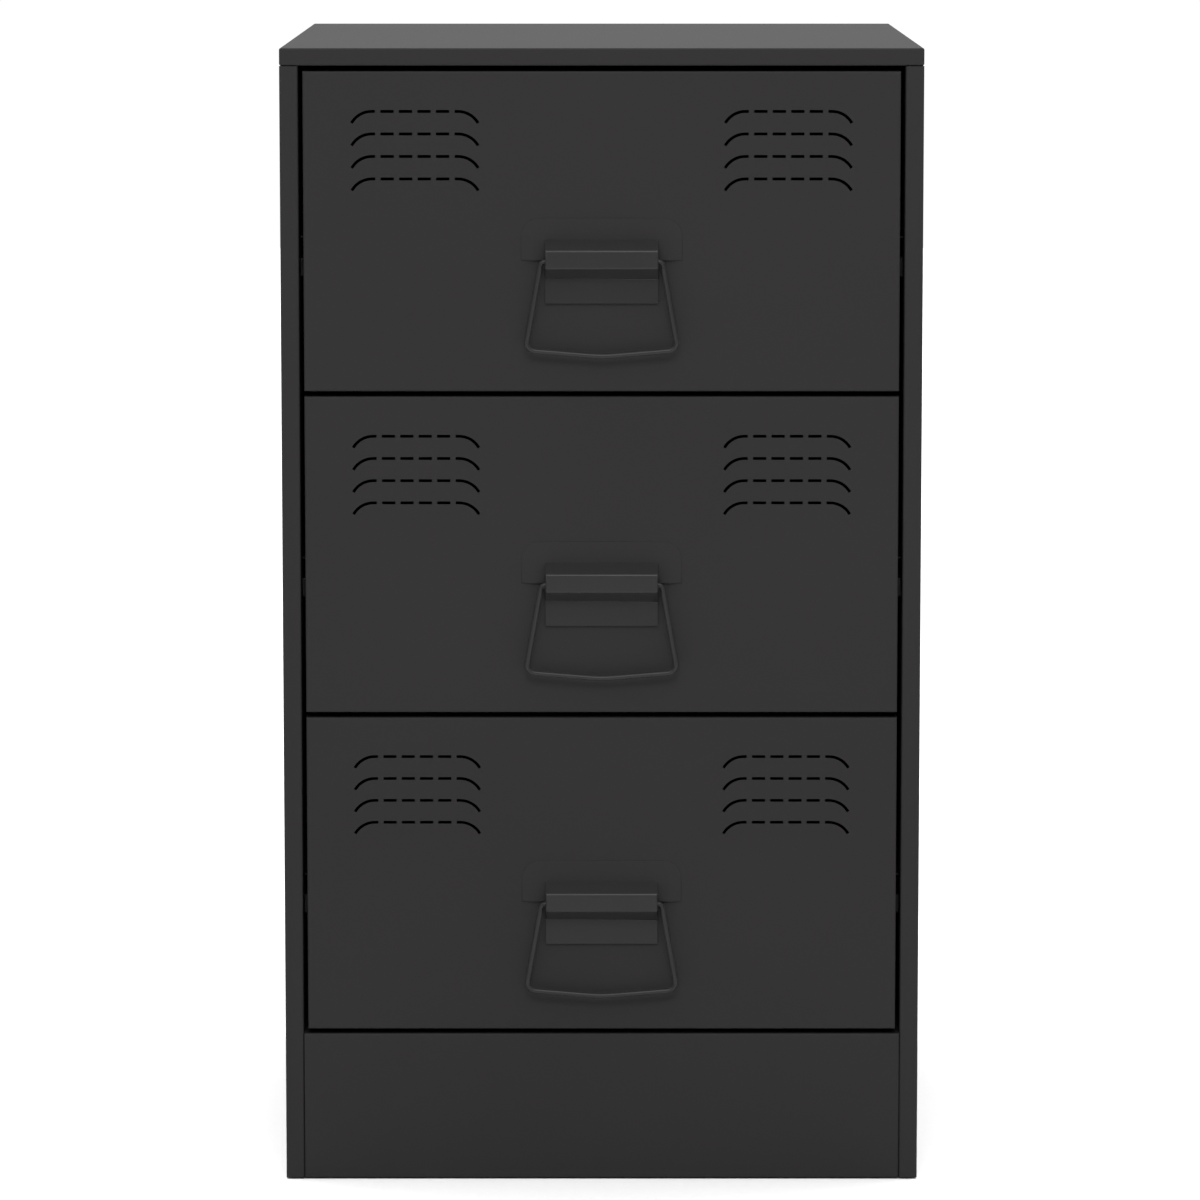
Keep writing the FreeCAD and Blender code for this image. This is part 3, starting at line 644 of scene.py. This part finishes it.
black_zinc = finish("black_zinc", (0.055, 0.055, 0.058), (0.10, 0.10, 0.105), (0.32, 0.48),
                    ((0.004, 2), (0.0004, 2)), ((0.0006, 0.00002),), Metallic=1.0)
head_radius = 0.0036
head_thick = 0.002
dome_radius = 0.0013
shank_radius = 0.0019
shank_length = 0.005
tip_length = 0.001
recess_size = (0.0036, 0.0008, 0.0022)
recess_taper = (0.5, 0.7, 1)
HEAD_TO = {
    "+x": (0, math.pi / 2, 0),
    "-x": (0, -math.pi / 2, 0),
    "+y": (-math.pi / 2, 0, 0),
    "-z": (math.pi, 0, 0),
}

clear()
bpy.ops.mesh.primitive_cylinder_add(vertices=28, radius=head_radius, depth=head_thick,
                                    location=(0, 0, head_thick / 2))
screw = bpy.context.object
settle()
bpy.ops.object.mode_set(mode="EDIT")
round_folds(lambda p: near(p.z, head_thick), dome_radius, 5)
choose("FACE", lambda p: near(p.z, 0))
bpy.ops.mesh.inset(thickness=head_radius - shank_radius)
bpy.ops.mesh.extrude_region_move(TRANSFORM_OT_translate={"value": (0, 0, -shank_length)})
bpy.ops.mesh.extrude_region_move(TRANSFORM_OT_translate={"value": (0, 0, -tip_length)})
bpy.ops.transform.resize(value=(0.5, 0.5, 1), center_override=(0, 0, -shank_length - tip_length))
clear()
bpy.ops.mesh.primitive_cube_add(size=1, location=(0, 0, head_thick))
recess = bpy.context.object
recess.scale = recess_size
settle()
bpy.ops.object.mode_set(mode="EDIT")
choose("VERT", lambda p: p.z < head_thick)
bpy.ops.transform.resize(value=recess_taper, center_override=(0, 0, 0))
bpy.ops.object.mode_set(mode="OBJECT")
for turn in (0, math.pi / 2):
    recess.rotation_euler.z = turn
    take(screw)
    shape_with(screw, "BOOLEAN", object=recess, operation="DIFFERENCE", solver="EXACT")
bpy.data.objects.remove(recess)


def set_screws(places):
    """Copies of the screw, each seated at a place with its head turned the given way, as one."""
    copies = []
    for seat, head in places:
        copy = bpy.data.objects.new("screw_copy", screw.data.copy())
        scene.collection.objects.link(copy)
        copy.location = seat
        copy.rotation_euler = HEAD_TO[head]
        copies.append(copy)
    joined = join(copies)
    settle()
    return joined


under_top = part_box("side_panel_left")[1].z - gauge
back_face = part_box("back_panel")[1].y
plinth_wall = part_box("plinth_panel")[1].x - gauge
top_seats = [(x, y, under_top) for x in (-0.166, 0.166) for y in (-0.120, 0.150)]
back_seats = [(x, back_face, z) for x in (-0.164, 0.164) for z in (0.040, 0.300, 0.590)]
places = [(seat, "-z") for seat in top_seats] + [(seat, "+y") for seat in back_seats]
plinth_screw = -0.179
for side, head in ((-1, "+x"), (1, "-x")):
    places += [((side * plinth_wall, plinth_screw, z), head) for z in (0.022, 0.062)]
case_screws = set_screws(places)
case_screws.name = "case_screw_set"
hand_over(case_screws, "case", "screw_steel", black_zinc, "case_screws")

# ---- Case runners
# Channels of 1.2 mm steel are welded to the sides of the case, with a nylon block in each mouth.
# They are passivated black, and rubbed a little brighter in patches.

dark_zinc = finish("dark_zinc", (0.020, 0.0205, 0.0215), (0.036, 0.0365, 0.038), (0.45, 0.58),
                   ((0.03, 3), (0.0008, 2)), ((0.001, 0.00002),), Metallic=0.6)
for level in LEVELS:
    for hand in ("left", "right"):
        node = "case_runner_{}_{}".format(level, hand)
        hand_over(ease(node, 0.0003), "case", "runner_steel", dark_zinc, node)
hand_over(ease("case_runner_glides", 0.0004), "case", "glide_plastic", nylon, "case_runner_glides")

# ---- Drawer boxes
# Two sides, a back and a floor of 0.7 mm sheet in the same coat, spot-welded and screwed behind
# the front. The sides' top edges are turned outwards and the floor's edges down.


def hand_over_eased(nodes, width, slot, material):
    """Hand over an eased copy of each of these nodes in every drawer."""
    for node in nodes:
        for level in LEVELS:
            name = node.format(level)
            hand_over(ease(name, width), "drawer_" + level, slot, material, name)


box_sheets = ("drawer_side_{}_left", "drawer_side_{}_right", "drawer_back_{}", "drawer_floor_{}")
hand_over_eased(box_sheets, 0.0003, "sheet_coat", coat)

# ---- Drawer runners, pads and buffers
# A steel blade runs in each channel on nylon pads, in the same finish as the channel. Two buffers
# of black rubber at the rear meet the back as the drawer shuts.

rubber = finish("black_rubber", (0.008, 0.008, 0.008), (0.014, 0.014, 0.014), (0.72, 0.85),
                ((0.01, 2), (0.0008, 2)), ((0.0008, 0.00004),), Specular_IOR_Level=0.3)
hand_over_eased(("drawer_runner_{}_left", "drawer_runner_{}_right"), 0.0003, "runner_steel", dark_zinc)
hand_over_eased(("drawer_glides_{}",), 0.0005, "glide_plastic", nylon)
hand_over_eased(("drawer_bumpers_{}",), 0.0012, "bumper_rubber", rubber)

# ---- Drawer screws
# The same black screws, eight to a drawer: four through the box's flanges into the front, and
# four through its sides into the back.

box_gauge = 0.0007
side_wall = 0.148
rear_screw = face + 0.371
front_screw = 0.153
front_seat = face + front_depth + box_gauge
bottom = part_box("drawer_front_lower")[0].z
heights = (bottom + 0.040, bottom + 0.120)
places = [((side * front_screw, front_seat, z), "+y") for side in (-1, 1) for z in heights]
for side, head in ((-1, "-x"), (1, "+x")):
    places += [((side * side_wall, rear_screw, z), head) for z in heights]
drawer_screws = set_screws(places)
hand_over_levels(drawer_screws, "drawer_screw_set", "drawer", "screw_steel", black_zinc, "drawer_screws_{}")
bpy.data.objects.remove(screw)
